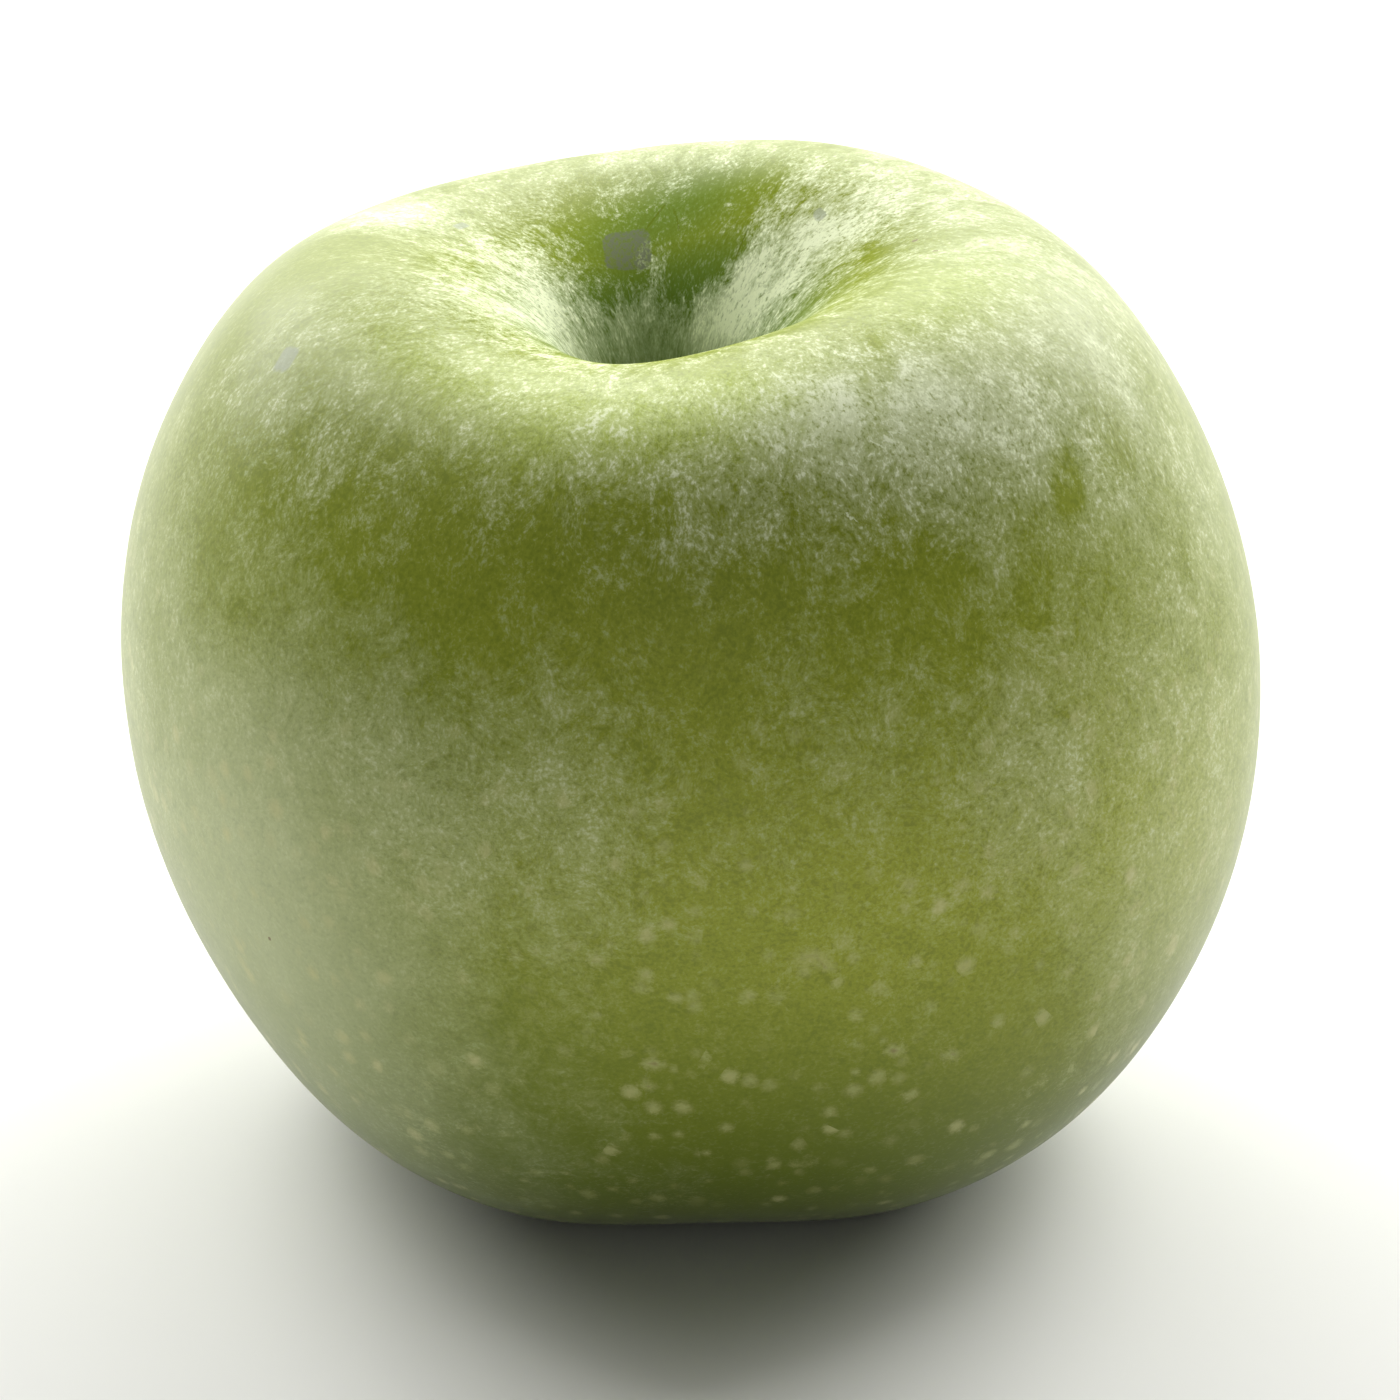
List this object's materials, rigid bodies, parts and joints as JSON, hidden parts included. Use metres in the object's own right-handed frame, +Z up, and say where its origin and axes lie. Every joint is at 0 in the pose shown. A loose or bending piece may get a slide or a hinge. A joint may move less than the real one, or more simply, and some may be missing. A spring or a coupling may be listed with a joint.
{
  "type": "green apple",
  "caption": "Whole green apple with a deep stem cavity, a lopsided crown and low lobes underneath, on which it stands.",
  "frame": {"origin": "on the surface that the apple stands on, under the centre of its outline seen from above", "axes": "+Z up from the base to the crown, along which the apple is shortest; -Y towards the side that the picture shows; +X to that side's right"},
  "size_m": [0.079, 0.078, 0.0688],
  "materials": {
    "apple_skin": "waxy green apple skin with a pale flaky bloom, paler near the stem cavity and speckled with pale pores low on the flanks",
    "dry_stem": "dry brown woody stem stub, matt",
    "dry_calyx": "dried brown sepals and filaments, matt and downy"
  },
  "bodies": {
    "root": {"fruit": "apple_skin", "stem": "dry_stem", "calyx": "dry_calyx"}
  },
  "joints": []
}
